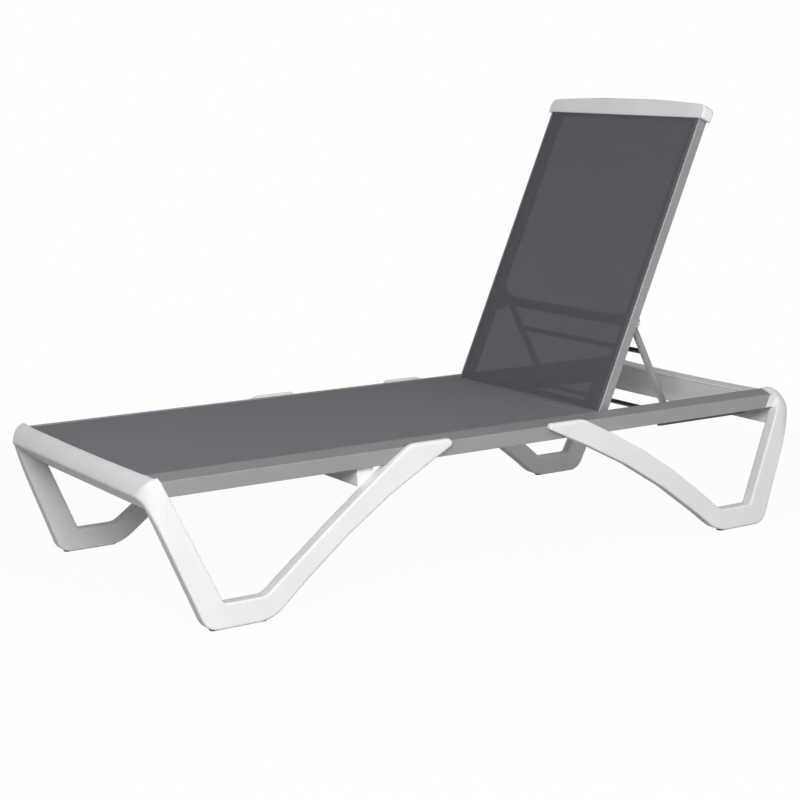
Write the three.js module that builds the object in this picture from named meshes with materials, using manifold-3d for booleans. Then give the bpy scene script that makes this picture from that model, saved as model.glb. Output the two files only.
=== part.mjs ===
// Sun lounger: moulded end frames, aluminium rails, sling seat and a reclining sling back on a prop.
// Millimetres, +Z up, +X towards the head, origin on the ground under the middle of the lounger.
import * as THREE from 'three';
import { mergeVertices } from 'three/addons/utils/BufferGeometryUtils.js';
import Module from 'manifold-3d';

const wasm = await Module();
wasm.setup();

// Clearances and steps shared by the whole lounger
const seat_gap = 0.3;
const overrun = 12;
const round_steps = 8;
const arc_step = Math.PI / 14;
const tube_sides = 16;
const bar_stations = 12;

// End frames: one upright post and one long arm on each leg, splayed outwards at the ground
const frame_reach = 951;
const leg_reach_out = 45;
const splay_share = 0.0975;
const leg_thickness = 31;
const leg_edge_round = 5;
const glide_height = 1.5;
const glide_width = 18;
const glide_inset = 12;
const glide_round = 6;
const heel_inset = 135;
const heel_round = 26;
const toe_inset = 295;
const toe_round = 34;
const opening_heel_inset = 179;
const opening_toe_inset = 282;
const opening_floor_z = 56;
const opening_round = 12;
const post_in_inset = 112;
const post_in_z = 201;
const post_out_inset = 59;
const post_out_z = 190;
const post_blend = 90;
const post_top_inset = 46;
const post_nose_z = 278;

// The two long arms differ a little: the foot arm is straighter than the head arm
const foot_arm = {
  tip_share: 0.1325, tip_round: 44, kink_share: 0.288, kink_round: 14,
  under_share: 0.4206, under_z: 204, under_blend: 200, over_share: 0.49, over_z: 207, over_blend: 130,
};
const head_arm = {
  tip_share: 0.101, tip_round: 38, kink_share: 0.244, kink_round: 12,
  under_share: 0.449, under_z: 186, under_blend: 210, over_share: 0.488, over_z: 221, over_blend: 165,
};
const arm_drop = 2.7;

// Knuckles at the four corners, where posts turn into the crossbars
const knuckle_grip = 43;
const knuckle_top = 343;
const knuckle_plan_round = 60;
const knuckle_side_round = 20;
const knuckle_nose_round = 62;
const knuckle_inner_round = 8;

// Crossbars
const bar_inner_inset = 65;
const bar_bottom_z = 243;
const bar_heel = 10;
const bar_heel_height = 23;
const bar_nose_z = 300;
const sling_ledge = 25;
const bar_lip_rise = 1.6;
const head_bar_dip = 24;
const head_bar_crown = 5;
const head_groove_drop = 5;
const head_groove_width = 2;
const head_groove_depth = 1.6;

// Side rails: a hollow section with a channel for the sling's edge cord
const side_rail_width = 51;
const rail_bottom = 294;
const rail_height = 45.2;
const rail_wall = 2.2;
const rail_shoulder = 9.5;
const rail_crest_in = 13;
const rail_crest_round = 2;
const channel_width = 5;
const channel_depth = 10.5;
const channel_lip = 4;
const lip_drop = 3.4;
const inner_crest_drop = 1.2;
const rail_head_low_inset = 98;
const rail_head_high_inset = 77;

// Seat
const sling_thickness = 1.2;
const seat_rear_gap = 13.2;
const cord_diameter = 4.4;
const stretcher_share = 0.4017;
const stretcher_width = 44;
const stretcher_depth = 43;
const stretcher_wall = 3;
const seat_tube_gap = 43.7;
const seat_tube_size = 24;
const seat_tube_wall = 2;
const seat_tube_drop = 10;

// Back
const hinge_inset = 611.3;
const hinge_z = 315.2;
const back_lean = 23.4;
const back_half_width = 293;
const hinge_play = 3;
const back_rail_width = 26;
const back_rail_depth = 26.5;
const back_rail_wall = 2;
const back_length = 823.5;
const back_sling_start = 5;
const back_channel_inset = 5;
const lower_tube_rise = 27;
const lower_tube_diameter = 16;
const cap_height = 36;
const cap_arch = 14;
const cap_arch_share = 0.9;
const cap_crown_share = 0.8;
const cap_overhang = 10;
const cap_wall = 4;
const cap_side_round = 16;
const cap_insert = 20;
const cap_socket_play = 3;
const wide_bar_start = 240;
const wide_bar_end_height = 35;
const wide_bar_waist = 23;
const wide_bar_thickness = 9;
const wide_bar_flare = 70;

// Hinge
const bolt_diameter = 6;
const bolt_clearance = 0.3;
const bolt_head_diameter = 15;
const bolt_head_height = 4.4;
const spacer_diameter = 26;
const nut_diameter = 10.6;
const nut_height = 5.5;

// Prop: a swinging bail whose foot rod drops into a notched rack under each rail
const pivot_behind = 32;
const pivot_up_share = 0.4686;
const prop_length_share = 0.5085;
const prop_inset = 17;
const prop_tube_diameter = 18;
const prop_bore_share = 0.8;
const cross_rod_diameter = 13;
const cross_rod_drop = 86;
const foot_rod_diameter = 12;
const foot_rod_end_gap = 7;
const foot_rod_z = 291.5;
const bracket_thickness = 4;
const bracket_round = 11;
const bracket_round_share = 0.9;
const bracket_root = 70;
const bush_diameter = 16;
const bush_thickness = 5;

// Notched racks
const rack_tip_z = 283;
const rack_ledge_depth = 8;
const rack_ledge_width = 10;
const rack_plate = 2.3;
const rack_plate_height = 21;
const rack_end_margin = 22;
const notch_depth = 4.6;
const notch_width = 15;
const notch_tilt = 3;
const rack_screw_diameter = 4;
const rack_screw_head = 7;
const rack_screw_head_height = 1.2;
const rack_screw_rise = 14.3;
const notch_leans = [18, 23.4, 33, 44, 56];

// Places worked out from the sizes above, first across the lounger, then along it, then upwards
const rail_inner = back_half_width + hinge_play;
const rail_outer = rail_inner + side_rail_width;
const rail_crest_y = rail_inner + rail_crest_in;
const ground_half_width = rail_outer + leg_reach_out;
const knuckle_half_gap = rail_outer - knuckle_grip;
const rail_in = back_half_width - back_rail_width;
const prop_half_width = rail_in - prop_inset;
const foot_rod_half_length = rail_inner - foot_rod_end_gap;

const bar_inner_x = frame_reach - bar_inner_inset;
const foot_lip_x = bar_inner_x + sling_ledge;
const rail_head_low_x = frame_reach - rail_head_low_inset;
const rail_head_high_x = frame_reach - rail_head_high_inset;
const hinge_x = frame_reach - hinge_inset;
const lowered_room = hinge_inset - bar_inner_inset;
const pivot_up = pivot_up_share * lowered_room;
const prop_length = prop_length_share * lowered_room;
const seat_rear_x = hinge_x - seat_rear_gap;
const seat_tube_x = hinge_x - seat_tube_gap;
const stretcher_x = -stretcher_share * frame_reach;

const rail_top = rail_bottom + rail_height;
const arm_top = rail_top - arm_drop;
const sling_z = rail_top - lip_drop + seat_gap;
const foot_bar_top = sling_z + sling_thickness + bar_lip_rise;
const screw_z = rack_tip_z - rack_ledge_depth + rack_screw_rise;
const frame_run = rail_height + knuckle_top;
const half_depth = back_rail_depth / 2;
const radians = THREE.MathUtils.degToRad;

const colours = {
  white_resin: { color: 0xececf0, roughness: 0.45, metalness: 0 },
  grey_paint: { color: 0x98989b, roughness: 0.42, metalness: 0.4 },
  sling: { color: 0x5b5c62, roughness: 0.85, metalness: 0 },
  dark_metal: { color: 0x55575a, roughness: 0.4, metalness: 0.6 },
  steel: { color: 0xb4b6b8, roughness: 0.3, metalness: 0.9 },
  black_plastic: { color: 0x2c2d30, roughness: 0.6, metalness: 0 },
};
const materials = Object.fromEntries(
  Object.entries(colours).map(([name, look]) => [name, new THREE.MeshStandardMaterial(look)]));

// Outline with rounded corners: each corner is [across, up, length of its rounding along each side]
function outline(corners) {
  const shape = new THREE.Shape();
  const count = corners.length;
  corners.forEach(([x, y, rounding], i) => {
    const corner = new THREE.Vector2(x, y);
    const to_last = new THREE.Vector2(...corners[(i + count - 1) % count]).sub(corner).normalize();
    const to_next = new THREE.Vector2(...corners[(i + 1) % count]).sub(corner).normalize();
    const points = rounding > 0 ? cornerArc(corner, to_last, to_next, rounding) : [corner];
    points.forEach((point, k) => {
      if (i === 0 && k === 0) shape.moveTo(point.x, point.y);
      else shape.lineTo(point.x, point.y);
    });
  });
  shape.closePath();
  return shape;
}

// Points of the arc that touches both sides of a corner
function cornerArc(corner, to_last, to_next, rounding) {
  const half_angle = Math.acos(THREE.MathUtils.clamp(to_last.dot(to_next), -1, 1)) / 2;
  const middle = to_last.clone().add(to_next).normalize();
  const centre = corner.clone().addScaledVector(middle, rounding / Math.cos(half_angle));
  const start = corner.clone().addScaledVector(to_last, rounding).sub(centre);
  const turn = Math.PI - 2 * half_angle;
  const side = Math.sign(to_next.cross(to_last));
  const steps = Math.max(3, Math.ceil(turn / arc_step));
  return Array.from({ length: steps + 1 }, (_, k) =>
    start.clone().rotateAround(new THREE.Vector2(), (side * turn * k) / steps).add(centre));
}

function rectangle(x0, y0, x1, y1, blend = 0) {
  return outline([[x0, y0, blend], [x1, y0, blend], [x1, y1, blend], [x0, y1, blend]]);
}

function extruded(shape, depth, options = {}) {
  return new THREE.ExtrudeGeometry(shape, { depth, bevelEnabled: false, curveSegments: round_steps, ...options });
}

// An (x, z) outline drawn out along Y, a (y, z) outline along X, and an (x, y) outline along Z
function alongY(shape, y0, y1, options) {
  return extruded(shape, y1 - y0, options).rotateX(Math.PI / 2).translate(0, y1, 0);
}

function alongX(shape, x0, x1) {
  const turn = new THREE.Matrix4().makeBasis(
    new THREE.Vector3(0, 1, 0), new THREE.Vector3(0, 0, 1), new THREE.Vector3(1, 0, 0));
  return extruded(shape, x1 - x0).applyMatrix4(turn).translate(x0, 0, 0);
}

function alongZ(shape, z0, z1) {
  return extruded(shape, z1 - z0).translate(0, 0, z0);
}

function rodY(radius, y0, y1, x = 0, z = 0) {
  return new THREE.CylinderGeometry(radius, radius, y1 - y0, tube_sides).translate(x, (y0 + y1) / 2, z);
}

function boxAt(x0, x1, y0, y1, z0, z1) {
  return new THREE.BoxGeometry(x1 - x0, y1 - y0, z1 - z0)
    .translate((x0 + x1) / 2, (y0 + y1) / 2, (z0 + z1) / 2);
}

// Leans a solid sideways so that it widens towards the ground, as the end frames do
function splayed(geometry) {
  const place = geometry.attributes.position;
  for (let i = 0; i < place.count; i += 1) place.setY(i, place.getY(i) - splay_share * place.getZ(i));
  return geometry;
}

// Mirrors a solid across the middle plane of the lounger, with its faces still pointing out
function mirrored(geometry) {
  const copy = mergeVertices(stripped(geometry)).scale(1, -1, 1);
  const corners = copy.index.array;
  for (let i = 0; i < corners.length; i += 3) [corners[i], corners[i + 1]] = [corners[i + 1], corners[i]];
  copy.computeVertexNormals();
  return copy;
}

function stripped(geometry) {
  const bare = geometry.clone();
  bare.deleteAttribute('normal');
  bare.deleteAttribute('uv');
  return bare;
}

function toSolid(geometry) {
  const merged = mergeVertices(stripped(geometry));
  const corners = merged.index.array;
  const whole = [];
  for (let i = 0; i < corners.length; i += 3) {
    const [a, b, c] = corners.slice(i, i + 3);
    if (a !== b && b !== c && c !== a) whole.push(a, b, c);
  }
  return new wasm.Manifold(new wasm.Mesh({
    numProp: 3,
    vertProperties: merged.attributes.position.array,
    triVerts: Uint32Array.from(whole),
  }));
}

function toGeometry(solid) {
  const mesh = solid.getMesh();
  const geometry = new THREE.BufferGeometry();
  geometry.setAttribute('position', new THREE.BufferAttribute(mesh.vertProperties, 3));
  geometry.setIndex(new THREE.BufferAttribute(mesh.triVerts, 1));
  geometry.computeVertexNormals();
  return geometry;
}

function joined(...geometries) {
  return toGeometry(geometries.map(toSolid).reduce((sum, next) => sum.add(next)));
}

function cut(body, ...tools) {
  return toGeometry(tools.map(toSolid).reduce((left, tool) => left.subtract(tool), toSolid(body)));
}

function common(...geometries) {
  return toGeometry(geometries.map(toSolid).reduce((shared, next) => shared.intersect(next)));
}

// A closed skin over rings of points that all have the same count
function lofted(rings) {
  const size = rings[0].length;
  const points = rings.flat();
  const faces = [];
  for (let ring = 0; ring + 1 < rings.length; ring += 1) {
    for (let i = 0; i < size; i += 1) {
      const a = ring * size + i;
      const b = ring * size + ((i + 1) % size);
      faces.push(a, b, b + size, a, b + size, a + size);
    }
  }
  const flat = rings[0].map((point) => new THREE.Vector2(point.x, point.z));
  const last = (rings.length - 1) * size;
  const turn = Math.sign(THREE.ShapeUtils.area(flat));
  THREE.ShapeUtils.triangulateShape(flat, []).forEach(([a, b, c]) => {
    const same = Math.sign(THREE.ShapeUtils.area([flat[a], flat[b], flat[c]])) === turn;
    const [second, third] = same ? [b, c] : [c, b];
    faces.push(a, third, second, last + a, last + second, last + third);
  });
  if (turn > 0) faces.reverse();
  const geometry = new THREE.BufferGeometry().setFromPoints(points);
  geometry.setIndex(faces);
  geometry.computeVertexNormals();
  return geometry;
}

const lounger = new THREE.Group();

function place(parent, name, geometry, material) {
  const mesh = new THREE.Mesh(geometry, materials[material]);
  mesh.name = name;
  parent.add(mesh);
  return mesh;
}

function placePair(parent, name, geometry, material) {
  place(parent, `${name}_right`, geometry, material);
  place(parent, `${name}_left`, mirrored(geometry), material);
}

// Leg outline seen from the side, for the end frame that faces +X
function legOutline(arm) {
  return outline([
    [frame_reach - heel_inset, glide_height, heel_round],
    [frame_reach - post_out_inset, post_out_z, post_blend],
    [frame_reach, post_nose_z, 0],
    [frame_reach, knuckle_top, 0],
    [frame_reach - post_top_inset, knuckle_top, knuckle_inner_round],
    [frame_reach - post_in_inset, post_in_z, post_blend],
    [frame_reach - opening_heel_inset, opening_floor_z, opening_round / 2],
    [frame_reach - opening_toe_inset, opening_floor_z, opening_round],
    [arm.over_share * frame_reach, arm.over_z, arm.over_blend],
    [arm.kink_share * frame_reach, arm_top, arm.kink_round],
    [arm.tip_share * frame_reach, arm_top, arm.tip_round],
    [arm.under_share * frame_reach, arm.under_z, arm.under_blend],
    [frame_reach - toe_inset, glide_height, toe_round],
  ]);
}

// The knuckle's outline before the round nose is cut, with the crossbar's sloping underside
function knuckleOutline() {
  return outline([
    [bar_inner_x - bar_heel, bar_bottom_z, 0],
    [frame_reach, bar_nose_z, 0],
    [frame_reach, knuckle_top, 0],
    [bar_inner_x, knuckle_top, knuckle_inner_round],
    [bar_inner_x, bar_bottom_z + bar_heel_height, 0],
  ]);
}

// Everything that the end frame may fill: round in plan, along the top and over the nose
function frameEnvelope() {
  const plan = outline([
    [0, 0, 0], [frame_reach, 0, 0],
    [frame_reach, ground_half_width, knuckle_plan_round], [0, ground_half_width, 0],
  ]);
  const front = outline([
    [0, -overrun, 0], [ground_half_width, -overrun, 0],
    [ground_half_width, knuckle_top, knuckle_side_round], [0, knuckle_top, 0],
  ]);
  const side = outline([
    [0, -overrun, 0], [frame_reach, -overrun, 0],
    [frame_reach, knuckle_top, knuckle_nose_round], [0, knuckle_top, 0],
  ]);
  const inPlan = splayed(alongZ(plan, -overrun, frame_run));
  const inFront = splayed(alongX(front, 0, frame_reach + overrun));
  return common(inPlan, inFront, alongY(side, -overrun, ground_half_width + overrun));
}

// The side rail's section in (y, z), solid and then its hollow
function railSection() {
  const lip = rail_top - lip_drop;
  const channel_in = rail_inner + channel_lip;
  const channel_out = channel_in + channel_width;
  return outline([
    [rail_inner, rail_bottom, rail_wall],
    [rail_outer, rail_bottom, rail_wall],
    [rail_outer, rail_top - rail_shoulder, rail_wall],
    [rail_crest_y, rail_top, rail_crest_round],
    [channel_out, rail_top - inner_crest_drop, rail_wall / 2],
    [channel_out, lip - channel_depth, 0],
    [channel_in, lip - channel_depth, 0],
    [channel_in, lip, 0],
    [rail_inner, lip, rail_wall / 2],
  ]);
}

function railHollow() {
  const floor = rail_top - lip_drop - channel_depth - rail_wall;
  const step = rail_inner + channel_lip + channel_width + rail_wall;
  const high = rail_top - inner_crest_drop - rail_wall;
  return outline([
    [rail_inner + rail_wall, rail_bottom + rail_wall, 0],
    [rail_outer - rail_wall, rail_bottom + rail_wall, 0],
    [rail_outer - rail_wall, rail_top - rail_shoulder - rail_wall / 2, 0],
    [rail_crest_y, rail_top - rail_wall, 0],
    [step, high, 0],
    [step, floor, 0],
    [rail_inner + rail_wall, floor, 0],
  ]);
}

// The slanted end of the rail at the head: the part of space beyond it
function beyondRail(gap, toward_foot) {
  const slope = (rail_head_high_x - rail_head_low_x) / rail_height;
  const low = rail_head_low_x + gap - slope * overrun;
  const high = rail_head_high_x + gap + slope * overrun;
  const z0 = rail_bottom - overrun;
  const z1 = rail_top + overrun;
  const far = toward_foot ? 0 : frame_reach;
  const corners = [[low, z0, 0], [far, z0, 0], [far, z1, 0], [high, z1, 0]];
  return outline(toward_foot ? corners.reverse() : corners);
}

function legSolid(arm, at_head) {
  const outer = alongY(legOutline(arm), ground_half_width - leg_thickness + leg_edge_round,
    ground_half_width - leg_edge_round, {
      bevelEnabled: true, bevelThickness: leg_edge_round, bevelSize: leg_edge_round,
      bevelOffset: -leg_edge_round, bevelSegments: 2,
    });
  const knuckle = alongY(knuckleOutline(), knuckle_half_gap + seat_gap / 2, rail_outer);
  const leg = common(joined(splayed(outer), knuckle), frameEnvelope());
  const rail_space = { y1: rail_outer + seat_gap, z0: rail_bottom - seat_gap };
  if (!at_head) return cut(leg, boxAt(-overrun, foot_lip_x, 0, rail_space.y1, rail_space.z0, frame_run));
  const shoulder = alongX(railSection(), rail_head_low_x - overrun, bar_inner_x + overrun);
  const socket = common(shoulder, alongY(beyondRail(0, false), 0, ground_half_width));
  const room = common(boxAt(-overrun, frame_reach, 0, rail_space.y1, rail_space.z0, frame_run),
    alongY(beyondRail(-seat_gap, true), 0, ground_half_width));
  const trimmed = common(socket, boxAt(0, frame_reach, knuckle_half_gap + seat_gap / 2,
    ground_half_width, 0, frame_run));
  return cut(joined(leg, trimmed), room);
}

function glideSolid() {
  const middle_y = ground_half_width - leg_thickness / 2;
  const pad = rectangle(frame_reach - toe_inset + glide_inset, middle_y - glide_width / 2,
    frame_reach - heel_inset - glide_inset, middle_y + glide_width / 2, glide_round);
  return alongZ(pad, 0, glide_height - seat_gap);
}

// Crossbar at the foot: a ledge carries the sling's end, a lip closes it, then the round nose
function footBarRing(y) {
  const ledge = sling_z - seat_gap;
  return barRing(y, [[bar_inner_x, ledge], [foot_lip_x, ledge]], foot_lip_x, foot_bar_top);
}

// Crossbar at the head: lower, so that the lowered back lies over it, with a groove along its inner face
function headBarRing(y) {
  const top = knuckle_top - head_bar_dip + head_bar_crown * (y / knuckle_half_gap) ** 2;
  const groove = top - head_groove_drop;
  return barRing(y, [
    [bar_inner_x, groove - head_groove_width],
    [bar_inner_x + head_groove_depth, groove - head_groove_width],
    [bar_inner_x + head_groove_depth, groove], [bar_inner_x, groove], [bar_inner_x, top],
  ], bar_inner_x, top);
}

// The round nose starts where it reaches both the given place and the given height
function barRing(y, inner_points, start_x, top) {
  const centre = new THREE.Vector2(frame_reach - knuckle_nose_round, knuckle_top - knuckle_nose_round);
  const share = (length) => THREE.MathUtils.clamp(length / knuckle_nose_round, 0, 1);
  const first = Math.max(Math.asin(share(start_x - centre.x)), Math.acos(share(top - centre.y)));
  const last = Math.acos(share(bar_nose_z - centre.y));
  const nose = Array.from({ length: round_steps + 1 }, (_, k) => {
    const angle = THREE.MathUtils.lerp(first, last, k / round_steps);
    return [centre.x + knuckle_nose_round * Math.sin(angle), centre.y + knuckle_nose_round * Math.cos(angle)];
  });
  const profile = [
    [bar_inner_x - bar_heel, bar_bottom_z], [bar_inner_x, bar_bottom_z + bar_heel_height],
    ...inner_points, ...nose,
  ];
  return profile.map(([x, z]) => new THREE.Vector3(x, y, z));
}

function crossbar(ring) {
  const half = knuckle_half_gap - seat_gap / 2;
  return lofted(Array.from({ length: bar_stations + 1 }, (_, k) =>
    ring(THREE.MathUtils.lerp(-half, half, k / bar_stations))));
}

// The foot crossbar makes room for the ends of the rails
function footCrossbar() {
  const room = boxAt(-overrun, foot_lip_x, rail_inner - seat_gap, rail_outer,
    rail_bottom - seat_gap, frame_run);
  return cut(crossbar(footBarRing), room, mirrored(room));
}

function buildEndFrame(end, arm, at_head) {
  const frame = new THREE.Group();
  lounger.add(frame);
  const leg = legSolid(arm, at_head);
  const near = mirrored(leg);
  if (!at_head) frame.rotation.z = Math.PI;
  const [plus, minus] = at_head ? ['right', 'left'] : ['left', 'right'];
  place(frame, `${end}_leg_${plus}`, leg, 'white_resin');
  place(frame, `${end}_leg_${minus}`, near, 'white_resin');
  place(frame, `${end}_glide_${plus}`, glideSolid(), 'black_plastic');
  place(frame, `${end}_glide_${minus}`, mirrored(glideSolid()), 'black_plastic');
  place(frame, `${end}_crossbar`, at_head ? crossbar(headBarRing) : footCrossbar(), 'white_resin');
}

function sideRail() {
  const foot_end = seat_gap - foot_lip_x;
  const bar = alongX(railSection(), foot_end, rail_head_high_x + overrun);
  const hollow = alongX(railHollow(), foot_end - overrun, rail_head_high_x + 2 * overrun);
  const slanted = cut(bar, hollow, alongY(beyondRail(0, false), 0, ground_half_width));
  const bore = rodY(bolt_diameter / 2 + bolt_clearance, rail_inner - overrun,
    rail_inner + rail_wall + overrun, hinge_x, hinge_z);
  return cut(slanted, bore);
}

function buildSeat() {
  placePair(lounger, 'side_rail', sideRail(), 'grey_paint');
  const sling_half = rail_inner + channel_lip + channel_width / 2;
  const sling_front = seat_gap - foot_lip_x;
  place(lounger, 'seat_sling',
    boxAt(sling_front, seat_rear_x, -sling_half, sling_half, sling_z, sling_z + sling_thickness), 'sling');
  const cord_z = rail_top - lip_drop - channel_depth + cord_diameter / 2 + seat_gap;
  const cord_shape = new THREE.Shape().absarc(sling_half, cord_z, cord_diameter / 2, 0, Math.PI * 2);
  placePair(lounger, 'seat_cord', alongX(cord_shape, sling_front, seat_rear_x), 'black_plastic');
  const stretcher_low = rail_bottom - seat_gap - stretcher_depth;
  const section = rectangle(stretcher_x - stretcher_width / 2, stretcher_low,
    stretcher_x + stretcher_width / 2, rail_bottom - seat_gap, stretcher_wall);
  const inside = rectangle(stretcher_x - stretcher_width / 2 + stretcher_wall, stretcher_low - overrun,
    stretcher_x + stretcher_width / 2 - stretcher_wall, rail_bottom - seat_gap - stretcher_wall);
  const stretcher = cut(betweenLegs(section, seat_gap), betweenLegs(inside, seat_gap + stretcher_wall));
  place(lounger, 'under_seat_stretcher', stretcher, 'white_resin');
  const half_tube = seat_tube_size / 2;
  const tube_z = rail_top - seat_tube_drop - half_tube;
  const tube = rectangle(seat_tube_x - half_tube, tube_z - half_tube,
    seat_tube_x + half_tube, tube_z + half_tube, seat_tube_wall);
  const bore_half = half_tube - seat_tube_wall;
  const bore = rectangle(seat_tube_x - bore_half, tube_z - bore_half, seat_tube_x + bore_half, tube_z + bore_half);
  const tube_half = rail_inner - seat_gap;
  place(lounger, 'seat_rear_tube', cut(alongY(tube, -tube_half, tube_half),
    alongY(bore, -rail_inner - overrun, rail_inner + overrun)), 'grey_paint');
}

// An (x, z) outline drawn out along Y until it ends beside the splayed inner faces of both legs
function betweenLegs(shape, gap) {
  const reach = splayed(boxAt(-frame_reach, frame_reach, -2 * ground_half_width,
    ground_half_width - leg_thickness - gap, 0, rail_top));
  return common(alongY(shape, -ground_half_width, ground_half_width), reach, mirrored(reach));
}

// Back frame in its own space: origin on the hinge, z up the back, x towards the rear
function backRail() {
  const groove_out = back_half_width - back_channel_inset;
  const groove_in = groove_out - channel_width;
  const top = back_length - cap_height + cap_insert - cap_socket_play;
  const section = outline([
    [-half_depth, rail_in, back_rail_wall / 2], [half_depth, rail_in, back_rail_wall],
    [half_depth, back_half_width, back_rail_wall], [-half_depth, back_half_width, back_rail_wall],
  ]);
  const hollow_front = channel_depth / 2 + back_rail_wall - half_depth;
  const hollow = alongZ(rectangle(hollow_front, rail_in + back_rail_wall,
    half_depth - back_rail_wall, back_half_width - back_rail_wall), half_depth, top + overrun);
  const groove = boxAt(-half_depth - overrun, channel_depth / 2 - half_depth, groove_in, groove_out,
    back_sling_start, top + overrun);
  const bar = joined(alongZ(section, 0, top), rodY(half_depth, rail_in, back_half_width));
  const bore = rodY(bolt_diameter / 2 + bolt_clearance, rail_in - overrun, back_half_width + overrun);
  return cut(bar, hollow, groove, bore);
}

function wideBar() {
  const half = rail_in - bracket_thickness - 2 * seat_gap;
  const low = wide_bar_start;
  const high = low + wide_bar_waist;
  const tall = low + wide_bar_end_height;
  const waist = half - wide_bar_flare;
  const shape = outline([
    [-half, low, back_rail_wall], [half, low, back_rail_wall], [half, tall, back_rail_wall],
    [waist, high, wide_bar_flare / 2], [-waist, high, wide_bar_flare / 2], [-half, tall, back_rail_wall],
  ]);
  return alongX(shape, half_depth - back_rail_wall - wide_bar_thickness, half_depth - back_rail_wall);
}

function topCap() {
  const half = back_half_width + cap_overhang;
  const low = back_length - cap_height;
  const front = outline([
    [-half, low, cap_wall], [half, low, cap_wall], [half, back_length, cap_side_round],
    [0, back_length + 2 * cap_arch, half * cap_arch_share], [-half, back_length, cap_side_round],
  ]);
  const depth_half = half_depth + cap_wall;
  const side = outline([
    [-depth_half, low - overrun, 0], [depth_half, low - overrun, 0],
    [depth_half, back_length + cap_arch, depth_half * cap_crown_share],
    [-depth_half, back_length + cap_arch, depth_half * cap_crown_share],
  ]);
  const body = common(alongX(front, -depth_half, depth_half), alongY(side, -half - overrun, half + overrun));
  const socket_top = low + cap_insert;
  const gap = seat_gap;
  const sockets = [-1, 1].map((side_sign) => {
    const inner = side_sign * (rail_in - gap);
    const outer = side_sign * (back_half_width + gap);
    return boxAt(-half_depth - gap, half_depth + gap, Math.min(inner, outer), Math.max(inner, outer),
      low - overrun, socket_top);
  });
  const slot_half = back_half_width - back_channel_inset - channel_width / 2 + gap;
  const slot = boxAt(-half_depth - sling_thickness - 2 * gap, gap - half_depth,
    -slot_half, slot_half, low - overrun, socket_top);
  return cut(body, ...sockets, slot);
}

// Prop pose: the foot rod stays at the rack's height, so the lean of the prop follows from it
function propSwing(lean) {
  const angle = radians(lean);
  const pivot_z = hinge_z + pivot_up * Math.cos(angle) - pivot_behind * Math.sin(angle);
  const pivot_x = hinge_x + pivot_up * Math.sin(angle) + pivot_behind * Math.cos(angle);
  const swing = Math.acos((pivot_z - foot_rod_z) / prop_length);
  return { swing, foot_x: pivot_x + prop_length * Math.sin(swing) };
}

function bracketSolid() {
  const gap = seat_gap;
  const shape = outline([
    [half_depth - back_rail_wall, pivot_up - bracket_root / 2, back_rail_wall],
    [pivot_behind + bracket_round, pivot_up - bracket_round, bracket_round * bracket_round_share],
    [pivot_behind + bracket_round, pivot_up + bracket_round, bracket_round * bracket_round_share],
    [half_depth - back_rail_wall, pivot_up + bracket_root / 2, back_rail_wall],
    [-half_depth / 2, pivot_up + bracket_root / 2, back_rail_wall],
    [-half_depth / 2, pivot_up - bracket_root / 2, back_rail_wall],
  ]);
  const plate = alongY(shape, rail_in - gap - bracket_thickness, rail_in - gap);
  return cut(plate, rodY(bolt_diameter / 2 + bolt_clearance, 0, back_half_width, pivot_behind, pivot_up));
}

function ringY(outer, inner, y0, y1, x, z) {
  return cut(rodY(outer, y0, y1, x, z), rodY(inner, y0 - overrun, y1 + overrun, x, z));
}

function buildBack() {
  const back = new THREE.Group();
  back.position.set(hinge_x, 0, hinge_z);
  back.rotation.y = radians(back_lean);
  lounger.add(back);
  placePair(back, 'back_rail', backRail(), 'grey_paint');
  place(back, 'back_top_cap', topCap(), 'white_resin');
  place(back, 'back_wide_bar', wideBar(), 'grey_paint');
  const tube_half = rail_in - seat_gap;
  place(back, 'back_lower_tube', ringY(lower_tube_diameter / 2, lower_tube_diameter / 2 - back_rail_wall,
    -tube_half, tube_half, 0, lower_tube_rise), 'grey_paint');
  const groove_middle = back_half_width - back_channel_inset - channel_width / 2;
  const front = -half_depth - seat_gap;
  const sling_top = back_length - cap_height + cap_insert - seat_gap;
  place(back, 'back_sling', boxAt(front - sling_thickness, front, -groove_middle, groove_middle,
    back_sling_start + seat_gap, sling_top), 'sling');
  const cord_x = cord_diameter / 2 - half_depth + seat_gap;
  const cord = new THREE.Shape().absarc(cord_x, groove_middle, cord_diameter / 2, 0, Math.PI * 2);
  placePair(back, 'back_cord', alongZ(cord, back_sling_start + seat_gap, sling_top), 'black_plastic');
  placePair(back, 'prop_bracket', bracketSolid(), 'grey_paint');
  buildProp(back);
}

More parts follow.
